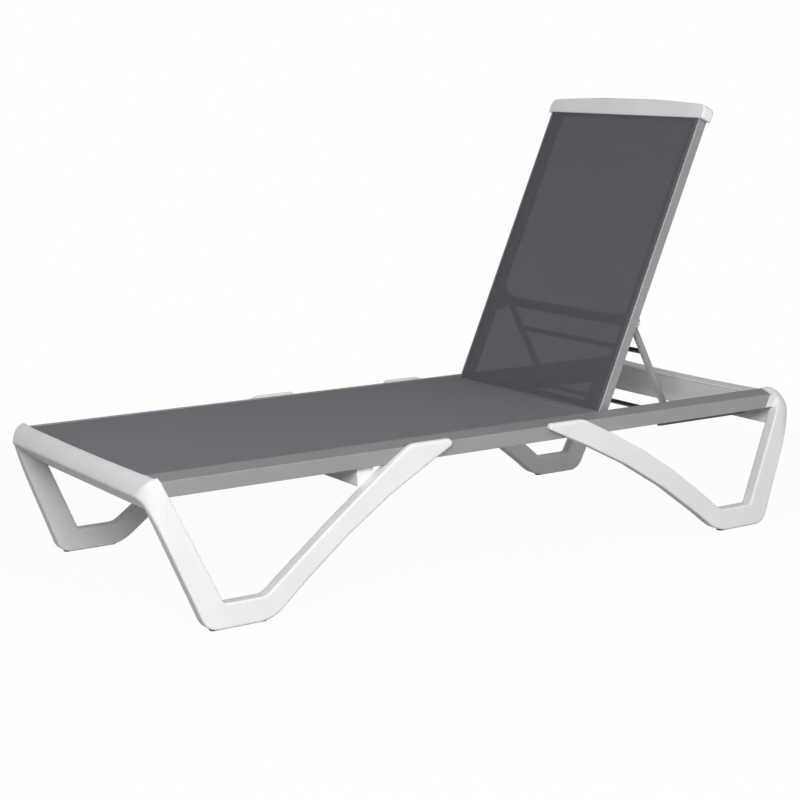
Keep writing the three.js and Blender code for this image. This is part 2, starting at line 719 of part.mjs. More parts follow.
function buildProp(back) {
  const bolt_radius = bolt_diameter / 2;
  const ear_out = rail_in - seat_gap;
  const arm_in = prop_half_width - prop_tube_diameter / 2;
  const head_in = arm_in - seat_gap - bolt_head_height;
  const bush_out = ear_out + seat_gap + bush_thickness;
  const pin = joined(
    rodY(bolt_radius, arm_in - 2 * seat_gap, bush_out, pivot_behind, pivot_up),
    rodY(bolt_head_diameter / 2, head_in, arm_in - seat_gap, pivot_behind, pivot_up));
  placePair(back, 'prop_pivot_bolt', pin, 'steel');
  placePair(back, 'prop_bush', ringY(bush_diameter / 2, bolt_radius + bolt_clearance,
    ear_out + seat_gap, bush_out, pivot_behind, pivot_up), 'white_resin');

  const prop = new THREE.Group();
  prop.position.set(pivot_behind, 0, pivot_up);
  prop.rotation.y = -(propSwing(back_lean).swing + radians(back_lean));
  back.add(prop);
  const tube_radius = prop_tube_diameter / 2;
  const rod_radius = foot_rod_diameter / 2;
  const cross_radius = cross_rod_diameter / 2;
  const tube_shape = new THREE.Shape().absarc(0, prop_half_width, tube_radius, 0, Math.PI * 2);
  const tube = joined(alongZ(tube_shape, -prop_length - tube_radius, 0),
    rodY(tube_radius, arm_in, arm_in + prop_tube_diameter));
  const bore_shape = new THREE.Shape().absarc(0, prop_half_width, tube_radius * prop_bore_share, 0, Math.PI * 2);
  const open_end = alongZ(bore_shape, -prop_length - tube_radius - overrun, -prop_length - rod_radius);
  const arm = cut(tube, open_end,
    rodY(bolt_radius + bolt_clearance, 0, back_half_width),
    rodY(rod_radius + seat_gap, 0, back_half_width, 0, -prop_length),
    rodY(cross_radius + seat_gap, 0, prop_half_width, 0, -cross_rod_drop));
  placePair(prop, 'prop_arm', arm, 'grey_paint');
  place(prop, 'prop_cross_rod', rodY(cross_radius, seat_gap - prop_half_width,
    prop_half_width - seat_gap, 0, -cross_rod_drop), 'dark_metal');
  place(prop, 'prop_foot_rod', rodY(rod_radius, -foot_rod_half_length, foot_rod_half_length,
    0, -prop_length), 'dark_metal');
}

function notchCutter(x) {
  const half = notch_width / 2;
  const shape = outline([
    [x - half + notch_tilt, rack_tip_z - notch_depth, notch_tilt],
    [x + half - notch_tilt, rack_tip_z - notch_depth, notch_tilt],
    [x + half + notch_tilt, rack_tip_z + overrun, 0],
    [x - half, rack_tip_z + overrun, 0],
  ]);
  return alongY(shape, 0, rail_outer);
}

function rackSolid(notches) {
  const x0 = notches[0] - rack_end_margin;
  const x1 = notches[notches.length - 1] + rack_end_margin;
  const wall = rail_inner - seat_gap;
  const foot = rack_tip_z - rack_ledge_depth;
  const ledge = boxAt(x0, x1, wall - rack_ledge_width, wall, foot, rack_tip_z);
  const plate = boxAt(x0, x1, wall - rack_plate, wall, foot, foot + rack_plate_height);
  const bores = screwPlaces(x0, x1).map((x) =>
    rodY(rack_screw_diameter / 2 + bolt_clearance, rail_inner - overrun, rail_inner + overrun, x, screw_z));
  return cut(joined(cut(ledge, ...notches.map(notchCutter)), plate), ...bores);
}

function screwPlaces(x0, x1) {
  return [x0 + rack_end_margin / 2, x1 - rack_end_margin / 2];
}

function rackScrew(x) {
  const wall = rail_inner - seat_gap;
  const head_out = wall - rack_plate - seat_gap;
  return joined(
    rodY(rack_screw_head / 2, head_out - rack_screw_head_height, head_out, x, screw_z),
    rodY(rack_screw_diameter / 2, head_out - seat_gap, wall, x, screw_z));
}

function buildHardware() {
  const notches = notch_leans.map((lean) => propSwing(lean).foot_x);
  placePair(lounger, 'notch_rack', rackSolid(notches), 'black_plastic');
  const ends = [notches[0] - rack_end_margin, notches[notches.length - 1] + rack_end_margin];
  const [front, rear] = screwPlaces(...ends);
  placePair(lounger, 'rack_screw_front', rackScrew(front), 'steel');
  placePair(lounger, 'rack_screw_rear', rackScrew(rear), 'steel');

  const bolt_radius = bolt_diameter / 2;
  const head_y = rail_in - seat_gap - bolt_head_height;
  const nut_y = rail_inner + rail_wall + seat_gap;
  const bolt = joined(
    rodY(bolt_head_diameter / 2, head_y, rail_in - seat_gap, hinge_x, hinge_z),
    rodY(bolt_radius, rail_in - 2 * seat_gap, nut_y + nut_height + seat_gap, hinge_x, hinge_z));
  placePair(lounger, 'hinge_bolt', bolt, 'steel');
  placePair(lounger, 'hinge_spacer', ringY(spacer_diameter / 2, bolt_radius + bolt_clearance,
    back_half_width + seat_gap, rail_inner - seat_gap, hinge_x, hinge_z), 'black_plastic');
  placePair(lounger, 'hinge_nut', ringY(nut_diameter / 2, bolt_radius + bolt_clearance,
    nut_y, nut_y + nut_height, hinge_x, hinge_z), 'steel');
}

buildEndFrame('foot', foot_arm, false);
buildEndFrame('head', head_arm, true);
buildSeat();
buildBack();
buildHardware();

export default lounger;
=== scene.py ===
"""Looks of a sun lounger: white moulded end frames, grey painted rails and grey mesh slings."""

import math

import bpy
import numpy as np
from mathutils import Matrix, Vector


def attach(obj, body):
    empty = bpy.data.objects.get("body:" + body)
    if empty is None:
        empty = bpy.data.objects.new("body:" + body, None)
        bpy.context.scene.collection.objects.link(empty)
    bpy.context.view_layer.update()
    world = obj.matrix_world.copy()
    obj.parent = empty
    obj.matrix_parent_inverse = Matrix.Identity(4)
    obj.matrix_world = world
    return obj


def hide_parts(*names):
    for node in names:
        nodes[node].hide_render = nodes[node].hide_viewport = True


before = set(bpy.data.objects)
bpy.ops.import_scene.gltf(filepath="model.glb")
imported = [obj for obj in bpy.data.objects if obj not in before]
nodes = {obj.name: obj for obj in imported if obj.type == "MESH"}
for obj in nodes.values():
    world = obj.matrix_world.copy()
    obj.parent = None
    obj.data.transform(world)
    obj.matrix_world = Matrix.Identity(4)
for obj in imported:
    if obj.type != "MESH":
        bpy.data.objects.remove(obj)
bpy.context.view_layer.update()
MM = 0.001

# Sizes and places shared with the frame, in millimetres, and the back's lean in radians
GAP = 0.3
REACH = 951
HALF_WIDTH = 392
SPLAY = 0.0975
LEG_THICKNESS = 31
GLIDE = 1.5
KNUCKLE_TOP = 343
KNUCKLE_GAP = 304
PLAN_ROUND, SIDE_ROUND, NOSE_ROUND = 60, 20, 62
HEEL, TOE = 816, 656
OPENING_HEEL, OPENING_TOE, OPENING_FLOOR = 772, 669, 56
POST_BACK_BEND, POST_BACK_TOP = (839, 201, 90), 910.6
BAR_INNER, BAR_HEEL = 886, 10
BAR_BOTTOM, BAR_HEEL_HEIGHT = 243, 23
FOOT_LIP, FOOT_BAR_TOP, LEDGE_TOP = 911, 338.9, 335.8
HEAD_BAR_TOP, HEAD_BAR_CROWN = 319, 5
GROOVE_BELOW_TOP, GROOVE_TALL, GROOVE_DEEP = 5, 2, 1.6
RAIL_INNER, RAIL_OUTER = 296, 347
RAIL_BOTTOM, RAIL_TOP, RAIL_SIDE_TOP, RAIL_CREST = 294, 339.2, 329.7, 309
RAIL_HEAD_LOW, RAIL_HEAD_HIGH = 853, 874
ARM_TOP = 336.5
SEAT_TOP, SEAT_END = 337.3, 326.5
HINGE = Vector((339.7, 0, 315.2))
LEAN = math.radians(23.4)
BACK_HALF, BACK_DEPTH, BACK_LENGTH = 293, 13.25, 823.5
BACK_RAIL_IN = 267
CAP_LOW, CAP_SOCKET, CAP_HALF, CAP_DEPTH = 787.5, 807.5, 303, 17.25
CAP_ARCH, CAP_ARCH_SHARE, CAP_CROWN_ROUND = 14, 0.9, 13.8
SLING_SOLID = 1.2
SEAT_CHANNEL, BACK_CHANNEL = 302.5, 285.5

# Shapes of the looks alone: lengths in millimetres, and plain numbers for steps, shares and powers
EDGE_ROUND = 3.5
FILLET, STUB_FILLET = 7, 3
BEYOND = 12
END_CELL, CAP_CELL = 3.0, 2.5
HEAD_ROUND, HEAD_ROUND_STARTS, HEAD_ROUND_FULL = 70, 830, 890
FOOT_RISE, HEAD_RISE = (296, 312), (288, 314)
RELIEF_FULL, RELIEF_ENDS = 290, 345
CROWN_ALLOWANCE, LIMIT_ROUND = 3, 5
POST_FRONT_BEND, POST_FRONT_TOP = (938, 296, 60), 345
BAR_END_INSET, BAR_END_ROUND = 24, 8
BAR_FRONT_BOTTOM, BAR_TOP_ROUND = 312, 3
STUB_OVERLAP, STUB_END, STUB_ROUND = 2, 900, 2
CAP_CORNER_ROUND = 17
YARN_PITCH, HOLE_OPENNESS = 1.7, 0.55
CLOTH, FOLD = 1.0, 4
FLAT_STEPS, FOLD_STEPS = 26, 4
END_STEP, LAST_STEP = 4, 16
FOOT_DIP, DIP_ENDS, DIP_FADES = 3.5, 30, 120
BACK_SAG, SAG_POWER = 3.0, 0.6
SEAT_CLOTH_SHORT = 2
BACK_CLOTH_LOW, BACK_CLOTH_HIGH = 6, 806
SEAT_TUCK, BACK_TUCK = 4.5, 5.5
CUT_START, CUT_ABOVE, CUT_LAP = 60, 20, 5
CROSSWISE_STEPS = 25
GROOVE_LAP, GROOVE_INSET, GROOVE_CROWN_SHARE = 4, 14, 0.9


class Value:
    """A socket in a material that takes part in sums."""

    def __init__(self, paint, socket):
        self.paint, self.socket = paint, socket

    def sum(self, operation, other=None, first=False):
        pair = (other, self) if first else (self, other)
        given = [part for part in pair if part is not None]
        return self.paint.node("ShaderNodeMath", {"operation": operation}, *given)

    def __add__(self, other):
        return self.sum("ADD", other)

    def __sub__(self, other):
        return self.sum("SUBTRACT", other)

    def __rsub__(self, other):
        return self.sum("SUBTRACT", other, first=True)

    def __mul__(self, other):
        return self.sum("MULTIPLY", other)

    __radd__ = __add__
    __rmul__ = __mul__

    def size(self):
        return self.sum("ABSOLUTE")

    def sine(self):
        return self.sum("SINE")

    def larger(self, other):
        return self.sum("MAXIMUM", other)

    def smaller(self, other):
        return self.sum("MINIMUM", other)

    def between(self, low, high):
        """0 below low, 1 above high, smooth in between."""
        return self.paint.node("ShaderNodeMapRange", {"interpolation_type": "SMOOTHSTEP"}, self, low, high)


class Paint:
    """One material and the nodes that make its finish."""

    def __init__(self, name, **finish):
        self.material = bpy.data.materials.new(name)
        self.material.use_nodes = True
        self.tree = self.material.node_tree
        self.surface = self.tree.nodes["Principled BSDF"]
        self.feed(self.surface, finish)
        self.place = self.node("ShaderNodeTexCoord", output="Object")

    def feed(self, node, named):
        for name, value in named.items():
            socket = node.inputs[name if isinstance(name, int) else name.replace("_", " ")]
            if isinstance(value, Value):
                self.tree.links.new(value.socket, socket)
            elif value is not None:
                socket.default_value = value

    def node(self, kind, settings=None, *values, output=0, **named):
        made = self.tree.nodes.new(kind)
        for name, setting in (settings or {}).items():
            setattr(made, name, setting)
        self.feed(made, dict(enumerate(values)))
        self.feed(made, named)
        return Value(self, made.outputs[output])

    def noise(self, per_metre, detail=2.0, roughness=0.5):
        return self.node("ShaderNodeTexNoise", None, Vector=self.place, Scale=per_metre,
                         Detail=detail, Roughness=roughness)

    def mix(self, share, first, second):
        """A colour between two colours."""
        made = self.tree.nodes.new("ShaderNodeMix")
        made.data_type = "RGBA"
        first, second = ((*c, 1) if isinstance(c, tuple) else c for c in (first, second))
        self.feed(made, {0: share, 6: first, 7: second})
        return Value(self, made.outputs[2])

    def bump(self, height, distance, strength=1.0):
        return self.node("ShaderNodeBump", None, Height=height, Distance=distance, Strength=strength)

    def split(self, vector):
        made = self.tree.nodes.new("ShaderNodeSeparateXYZ")
        self.feed(made, {0: vector})
        return [Value(self, made.outputs[axis]) for axis in range(3)]

    def finish(self, **inputs):
        self.feed(self.surface, inputs)
        return self.material


def white_resin():
    """Moulded resin: a little cloudy, with a fine spark-eroded grain."""
    paint = Paint("white_resin", IOR=1.48)
    cloud = paint.noise(9, 3).between(0.3, 0.7)
    grain = paint.noise(1400, 2, 0.6)
    swirl = paint.noise(38, 4, 0.6)
    return paint.finish(
        Base_Color=paint.mix(cloud, (0.80, 0.80, 0.815), (0.84, 0.84, 0.845)),
        Roughness=0.40 + swirl * 0.14,
        Normal=paint.bump(grain + swirl * 0.6, 0.00012, 0.5))


def grey_paint():
    """Powder coat on aluminium: mid grey with a fine metallic fleck and orange peel."""
    paint = Paint("grey_paint", IOR=1.5)
    fleck = paint.noise(2600, 1, 0.4)
    peel = paint.noise(520, 2)
    patch = paint.noise(11, 2)
    shade = fleck.between(0.25, 0.8) * 0.55 + patch * 0.45
    return paint.finish(
        Base_Color=paint.mix(shade, (0.290, 0.290, 0.296), (0.390, 0.390, 0.396)),
        Metallic=0.35 + fleck.between(0.5, 0.75) * 0.3,
        Roughness=0.36 + peel * 0.16,
        Normal=paint.bump(peel + fleck * 0.3, 0.00008, 0.6))


def dark_paint():
    """Dark paint on the prop's rods, rubbed a little lighter in patches."""
    paint = Paint("dark_paint")
    rub = paint.noise(60, 4, 0.7).between(0.52, 0.74)
    peel = paint.noise(700, 2)
    return paint.finish(
        Base_Color=paint.mix(rub, (0.045, 0.046, 0.048), (0.085, 0.086, 0.09)),
        Metallic=0.3 + rub * 0.4,
        Roughness=0.38 + peel * 0.16,
        Normal=paint.bump(peel, 0.00006, 0.5))


def zinc_steel():
    """Plated bolts, screws and nuts."""
    paint = Paint("zinc_steel", Metallic=1.0)
    turn = paint.noise(900, 3, 0.6)
    stain = paint.noise(120, 3).between(0.45, 0.7)
    return paint.finish(
        Base_Color=paint.mix(stain, (0.56, 0.565, 0.57), (0.42, 0.42, 0.415)),
        Roughness=0.24 + turn * 0.2,
        Normal=paint.bump(turn, 0.00004, 0.5))


def nylon(name, clean, dusty):
    """Glides, spacers and notched racks: nylon with a dull grain and a little dust."""
    paint = Paint(name)
    grain = paint.noise(1100, 3, 0.65)
    dust = paint.noise(24, 4).between(0.5, 0.75)
    return paint.finish(
        Base_Color=paint.mix(dust, clean, dusty),
        Roughness=0.52 + grain * 0.2,
        Normal=paint.bump(grain, 0.0001, 0.6))


def sling_mesh(name, lean, pale, dark):
    """Coated polyester mesh: two sets of yarns over and under each other, with small open holes."""
    paint = Paint(name, IOR=1.48)
    turned = paint.node("ShaderNodeVectorRotate", {"rotation_type": "Y_AXIS"},
                        Vector=paint.place, Angle=-lean)
    across, up = (paint.split(turned)[axis] for axis in ((1, 2) if lean else (1, 0)))
    yarns = math.pi / (YARN_PITCH * MM)
    warp, weft = (across * yarns).sine(), (up * yarns).sine()
    hole = warp.size().smaller(weft.size())
    crown = (1 - warp * warp) + (1 - weft * weft)
    over = (across * (yarns / 2)).sine() * (up * (yarns / 2)).sine()
    fibre = paint.noise(2200, 2, 0.6)
    slub = paint.noise(55, 3, 0.55)
    tone = (over * 0.25 + 0.5) * 0.5 + fibre * 0.25 + slub * 0.25
    open_share = hole.between(0.60, 0.82)
    return paint.finish(
        Base_Color=paint.mix(tone, dark, pale),
        Roughness=0.62 + fibre * 0.2,
        Alpha=1 - open_share * HOLE_OPENNESS,
        Normal=paint.bump(crown * 0.5 + over * 0.6 + fibre * 0.2, 0.0003, 0.6))


RESIN, GREY, DARK = white_resin(), grey_paint(), dark_paint()
STEEL, NYLON = zinc_steel(), nylon("black_nylon", (0.022, 0.022, 0.024), (0.04, 0.04, 0.041))
GREY_NYLON = nylon("grey_nylon", (0.17, 0.17, 0.175), (0.21, 0.21, 0.215))
# The seat and back slings are one cloth; the seat's copy is painted lighter, standing for the light that
# falls on its upward face.
SEAT_MESH_PAINTED_LIGHTER = sling_mesh("seat_mesh_painted_lighter", 0, (0.255, 0.260, 0.288), (0.180, 0.184, 0.204))
BACK_MESH = sling_mesh("back_mesh", LEAN, (0.118, 0.121, 0.136), (0.083, 0.086, 0.097))


def new_piece(name, points, faces, body, material, smooth=True):
    """A mesh piece from points in millimetres, riding on its body."""
    mesh = bpy.data.meshes.new(name)
    mesh.from_pydata([tuple(float(c) * MM for c in point) for point in points], [], faces)
    mesh.validate()
    mesh.materials.append(material)
    mesh.polygons.foreach_set("use_smooth", [smooth] * len(mesh.polygons))
    piece = bpy.data.objects.new(name, mesh)
    bpy.context.collection.objects.link(piece)
    if body:
        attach(piece, body)
    return piece


def rounded_outline(corners, step=math.radians(7)):
    """Points of a closed outline whose corners [across, up, rounding] are arcs."""
    places = [np.array(corner[:2], float) for corner in corners]
    points = []
    for i, (corner, rounding) in enumerate(zip(places, (c[2] for c in corners))):
        if not rounding:
            points.append(corner)
            continue
        to_last = places[i - 1] - corner
        to_next = places[(i + 1) % len(places)] - corner
        to_last, to_next = to_last / np.linalg.norm(to_last), to_next / np.linalg.norm(to_next)
        half = math.acos(np.clip(to_last @ to_next, -1, 1)) / 2
        middle = (to_last + to_next) / np.linalg.norm(to_last + to_next)
        centre = corner + middle * rounding / math.cos(half)
        arm = corner + to_last * rounding - centre
        turn = math.pi - 2 * half
        side = math.copysign(1, to_next[0] * to_last[1] - to_next[1] * to_last[0])
        steps = max(3, math.ceil(turn / step))
        for k in range(steps + 1):
            angle = side * turn * k / steps
            c, s = math.cos(angle), math.sin(angle)
            points.append(centre + (arm[0] * c - arm[1] * s, arm[0] * s + arm[1] * c))
    return np.array(points)


def outline_distance(x, z, loop):
    """Distance from points to a closed outline, negative inside it."""
    nearest = np.full(np.shape(x), 1e9)
    inside = np.zeros(np.shape(x), bool)
    for (ax, az), (bx, bz) in zip(loop, np.roll(loop, -1, 0)):
        ex, ez = bx - ax, bz - az
        if not (ex or ez):
            continue
        along = np.clip(((x - ax) * ex + (z - az) * ez) / (ex * ex + ez * ez), 0, 1)
        nearest = np.minimum(nearest, (x - ax - ex * along) ** 2 + (z - az - ez * along) ** 2)
        if ez:
            inside ^= ((az > z) != (bz > z)) & (x < ex * (z - az) / ez + ax)
    return np.where(inside, -1, 1) * np.sqrt(nearest)


def both(a, b, rounding):
    """What lies inside two shapes, with the edge between them rounded."""
    return np.minimum(np.maximum(a, b), -rounding) + np.hypot(
        np.maximum(a + rounding, 0), np.maximum(b + rounding, 0))


def either(a, b, fillet):
    """What lies inside one shape or another, with a fillet between them."""
    return -both(-a, -b, fillet)


def smoothstep(value, low, high):
    share = np.clip((value - low) / (high - low), 0, 1)
    return share * share * (3 - 2 * share)


def skin(shape, low, high, cell):
    """A closed quad mesh, the same on both sides, on the surface of shape(x, y, z)."""
    along, up = (np.arange(low[d] - cell, high[d] + 2 * cell, cell) for d in (0, 2))
    half = math.ceil(high[1] / cell) + 1
    sideways = (np.arange(2 * half) - half + 0.5) * cell
    x, z = np.meshgrid(along, up, indexing="ij")
    right = np.stack([shape(x, np.full(x.shape, y), z) for y in sideways[half:]], 1)
    field = np.concatenate([right[:, ::-1], right], 1)
    inside = field < 0
    cells = tuple(n - 1 for n in field.shape)
    corners = [(i, j, k) for i in (0, 1) for j in (0, 1) for k in (0, 1)]
    filled = np.stack([inside[tuple(slice(o, o + n) for o, n in zip(c, cells))] for c in corners])
    mixed = filled.any(0) & ~filled.all(0)
    where = np.argwhere(mixed)
    number = np.full(cells, -1)
    number[mixed] = np.arange(len(where))
    level = {c: field[tuple((where + c).T)] for c in corners}
    total, hits = np.zeros((len(where), 3)), np.zeros(len(where))
    for a in corners:
        for axis in (d for d in range(3) if not a[d]):
            b = tuple(1 if d == axis else a[d] for d in range(3))
            cross = (level[a] < 0) != (level[b] < 0)
            total += cross[:, None] * np.array(a)
            total[:, axis] += np.where(cross, level[a] / np.where(cross, level[a] - level[b], 1), 0)
            hits += cross
    points = (where + total / hits[:, None]) * cell + (along[0], sideways[0], up[0])
    faces = []
    for axis in range(3):
        u, v = (axis + 1) % 3, (axis + 2) % 3
        near, far = [slice(None)] * 3, [slice(None)] * 3
        near[axis], far[axis] = slice(0, -1), slice(1, None)
        spots = np.argwhere(inside[tuple(near)] != inside[tuple(far)])
        ring = []
        for du, dv in ((0, 0), (-1, 0), (-1, -1), (0, -1)):
            cell_at = spots.copy()
            cell_at[:, u] += du
            cell_at[:, v] += dv
            ring.append(number[tuple(cell_at.T)])
        ring = np.stack(ring, 1)
        turned = ~inside[tuple(spots.T)]
        ring[turned] = ring[turned][:, ::-1]
        faces.append(ring)
    faces = np.concatenate(faces)
    return settle(points, faces, shape, cell), faces.tolist()


def settle(points, faces, shape, cell, rounds=6):
    """Evens out the points over the surface and draws them onto it."""
    ends = np.concatenate([faces[:, [i, (i + 1) % 4]] for i in range(4)])
    count = np.bincount(ends[:, 0])
    step = cell * 0.05
    for turn in range(rounds):
        level = shape(*points.T)
        slope = np.stack([(shape(*(points + step * axis).T) - level) / step for axis in np.eye(3)], 1)
        normal = slope / np.maximum(np.linalg.norm(slope, axis=1, keepdims=True), 0.2)
        around = np.stack([np.bincount(ends[:, 0], points[ends[:, 1], d]) for d in range(3)], 1)
        pull = around / count[:, None] - points
        pull -= normal * (pull * normal).sum(1, keepdims=True)
        share = 0.5 if turn < rounds - 2 else 0
        points = points + share * pull - normal * np.clip(level, -cell, cell)[:, None]
    return points


class Section:
    """An outline seen along one axis, with the distances to it kept for the points asked for last."""

    def __init__(self, loop):
        self.loop, self.kept = loop, (None, None, None)

    def __call__(self, across, up):
        if self.kept[0] is not across or self.kept[1] is not up:
            self.kept = across, up, outline_distance(across, up, self.loop)
        return self.kept[2]


def back_point(local_x, y, up):
    """A place in the back's own space, as a place in the lounger's."""
    return (HINGE.x + local_x * math.cos(LEAN) + up * math.sin(LEAN), y,
            HINGE.z - local_x * math.sin(LEAN) + up * math.cos(LEAN))


def leg_loop(arm_tip, arm_kink, below_arm, above_arm):
    """A leg's outline seen from the side, for the end that faces +X.

    Each point is (along, up, rounding). The knuckle's limits cut its top.
    """
    post_front = [(HEEL, GLIDE, 26), POST_FRONT_BEND, (REACH + BEYOND, POST_FRONT_TOP, 0)]
    knuckle = [(REACH + BEYOND, KNUCKLE_TOP + BEYOND, 0), (POST_BACK_TOP, KNUCKLE_TOP + BEYOND, 0)]
    opening = [POST_BACK_BEND, (OPENING_HEEL, OPENING_FLOOR, 6), (OPENING_TOE, OPENING_FLOOR, 12)]
    arm = [above_arm, arm_kink, arm_tip, below_arm]
    return rounded_outline([*post_front, *knuckle, *opening, *arm, (TOE, GLIDE, 34)])


LEGS = {
    "foot": leg_loop(arm_tip=(126, ARM_TOP, 44), arm_kink=(273.9, ARM_TOP, 14),
                     below_arm=(400, 204, 200), above_arm=(466, 207, 130)),
    "head": leg_loop(arm_tip=(96, ARM_TOP, 38), arm_kink=(232, ARM_TOP, 12),
                     below_arm=(427, 186, 210), above_arm=(464, 221, 165)),
}
BAR = rounded_outline([
    (BAR_INNER - BAR_HEEL, BAR_BOTTOM, 2), (REACH + BEYOND, BAR_FRONT_BOTTOM, 0),
    (REACH + BEYOND, KNUCKLE_TOP + BEYOND, 0), (BAR_INNER, KNUCKLE_TOP + BEYOND, 0),
    (BAR_INNER, BAR_BOTTOM + BAR_HEEL_HEIGHT, 5)])


def bar_top(end, side):
    """Height of a crossbar's top, which rises into the knuckles."""
    if end == "foot":
        low = FOOT_BAR_TOP - FOOT_DIP * (1 - (side / KNUCKLE_GAP) ** 2)
        return low + (KNUCKLE_TOP - low) * smoothstep(side, *FOOT_RISE)
    low = HEAD_BAR_TOP + HEAD_BAR_CROWN * (side / KNUCKLE_GAP) ** 2
    return low + (KNUCKLE_TOP - low) * smoothstep(side, *HEAD_RISE)


def knuckle_limits(end, x, out, z):
    """What the end frame may fill: round in plan, along the top and over the nose, most at the head."""
    relief = BEYOND * (1 - smoothstep(out, RELIEF_FULL, RELIEF_ENDS))
    plan = both(x - REACH, out - HALF_WIDTH, PLAN_ROUND) - relief
    rounding = SIDE_ROUND
    if end == "head":
        share = smoothstep(x, HEAD_ROUND_STARTS, HEAD_ROUND_FULL)
        rounding = SIDE_ROUND + (HEAD_ROUND - SIDE_ROUND) * share
    corner = both(plan, z - KNUCKLE_TOP - CROWN_ALLOWANCE - relief, rounding)
    return both(corner, both(x - REACH, z - KNUCKLE_TOP, NOSE_ROUND), LIMIT_ROUND)


def rail_reach(z):
    """How far the slanted head end of a rail's pocket reaches at a height."""
    slope = (RAIL_HEAD_HIGH - RAIL_HEAD_LOW) / (RAIL_TOP - RAIL_BOTTOM)
    return RAIL_HEAD_LOW + GAP + slope * (z - RAIL_BOTTOM)


def rail_stub(x, side, z):
    """The rail's own section carried on into the head knuckle."""
    past_crest = np.maximum(side - RAIL_CREST, 0)
    roof = RAIL_TOP - past_crest * (RAIL_TOP - RAIL_SIDE_TOP) / (RAIL_OUTER - RAIL_CREST)
    width = both(KNUCKLE_GAP - side, side - RAIL_OUTER, STUB_ROUND)
    height = both(RAIL_BOTTOM - z, z - roof, STUB_ROUND)
    length = np.maximum(rail_reach(z) - x - STUB_OVERLAP, x - STUB_END)
    return np.maximum(both(width, height, STUB_ROUND), length)


def end_shape(end):
    """Distance to one end moulding: two splayed legs, their knuckles and the crossbar."""
    leg, bar = Section(LEGS[end]), Section(BAR)

    def shape(x, y, z):
        side = np.abs(y)
        out = side + SPLAY * z
        limb = both(leg(x, z), HALF_WIDTH - LEG_THICKNESS - out, EDGE_ROUND)
        across = both(bar(x, z), z - bar_top(end, side), BAR_TOP_ROUND)
        across = both(across, out - (HALF_WIDTH - BAR_END_INSET), BAR_END_ROUND)
        whole = either(limb, across, FILLET)
        if end == "head":
            whole = either(whole, rail_stub(x, side, z), STUB_FILLET)
        return both(whole, knuckle_limits(end, x, out, z), EDGE_ROUND)

    return shape


def block(*stations):
    """A closed block through (x, z) outlines at places across the lounger, given as (y, outline)."""
    count = len(stations[0][1])
    points = []
    for y, loop in stations:
        ring = np.array(loop, float)
        area = np.sum(ring[:, 0] * np.roll(ring[:, 1], -1) - ring[:, 1] * np.roll(ring[:, 0], -1))
        points += [(x, y, z) for x, z in (ring if area < 0 else ring[::-1])]
    faces = [tuple(range(count))[::-1], tuple(range(len(points) - count, len(points)))]
    for start in range(0, len(points) - count, count):
        for i in range(count):
            a, b = start + i, start + (i + 1) % count
            faces.append((a, b, b + count, a + count))
    return points, faces


def prisms(loop, *spans):
    """Blocks with one outline over several spans across the lounger."""
    return [block(*((y, loop) for y in sorted(span))) for span in spans]


def carve(piece, *cutters):
    """Cuts blocks out of a piece and leaves crisp edges there."""
    for points, faces in cutters:
        tool = new_piece("cutter", points, faces, None, RESIN, smooth=False)
        cut = piece.modifiers.new("cut", "BOOLEAN")
        cut.operation, cut.solver, cut.object = "DIFFERENCE", "EXACT", tool
        bpy.context.view_layer.update()
        made = bpy.data.meshes.new_from_object(piece.evaluated_get(bpy.context.evaluated_depsgraph_get()))
        piece.modifiers.clear()
        old, piece.data = piece.data, made
        bpy.data.meshes.remove(old)
        bpy.data.objects.remove(tool)


def groove_block(half):
    """The thin groove along the head crossbar's inner face, which follows the bar's crown."""
    inner, outer = BAR_INNER - GROOVE_LAP, BAR_INNER + GROOVE_DEEP
    stations = []
    for y in np.linspace(-half, half, CROSSWISE_STEPS):
        top = float(bar_top("head", abs(y) * GROOVE_CROWN_SHARE)) - GROOVE_BELOW_TOP
        floor = top - GROOVE_TALL
        stations.append((y, [(inner, floor), (inner, top), (outer, top), (outer, floor)]))
    return block(*stations)


def box_loop(start, stop, bottom, top):
    """A rectangle seen from the side."""
    return [(start, bottom), (stop, bottom), (stop, top), (start, top)]


def foot_cutters(floor, top, beside):
    """Room for the rails' ends, and the ledge that the seat's cloth ends on, which dips with the bar."""
    lap = CUT_LAP - BAR_INNER
    stations = []
    for y in np.linspace(-KNUCKLE_GAP, KNUCKLE_GAP, CROSSWISE_STEPS):
        seat = LEDGE_TOP - FOOT_DIP * (1 - (y / KNUCKLE_GAP) ** 2)
        stations.append((y, box_loop(lap, -FOOT_LIP, seat, top)))
    inner = RAIL_INNER - GAP
    return (prisms(box_loop(-CUT_START, -BAR_INNER, floor, top), (-beside, beside))
            + prisms(box_loop(lap, -FOOT_LIP, floor, top), (-beside, -inner), (inner, beside))
            + [block(*stations)])


def head_cutters(floor, top, beside):
    """Pockets for the rails' slanted ends, the open middle and the groove along the bar."""
    pocket = [(CUT_START, floor), (rail_reach(floor), floor), (rail_reach(top), top), (CUT_START, top)]
    return (prisms(pocket, (-beside, beside))
            + prisms(box_loop(CUT_START, BAR_INNER, floor, top), (-KNUCKLE_GAP, KNUCKLE_GAP))
            + [groove_block(KNUCKLE_GAP - GROOVE_INSET)])


def end_moulding(end, arm_starts, cutters):
    """One moulding for each end: it stands for the two legs and the crossbar between them."""
    points, faces = skin(end_shape(end), (arm_starts, 0, 0), (REACH, HALF_WIDTH, KNUCKLE_TOP), END_CELL)
    if end == "foot":
        points = points * (-1, -1, 1)
    piece = new_piece(f"{end}_moulding", points, faces, "frame", RESIN)
    carve(piece, *cutters(RAIL_BOTTOM - GAP, KNUCKLE_TOP + CUT_ABOVE, RAIL_OUTER + GAP))
    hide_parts(f"{end}_leg_left", f"{end}_leg_right", f"{end}_crossbar")


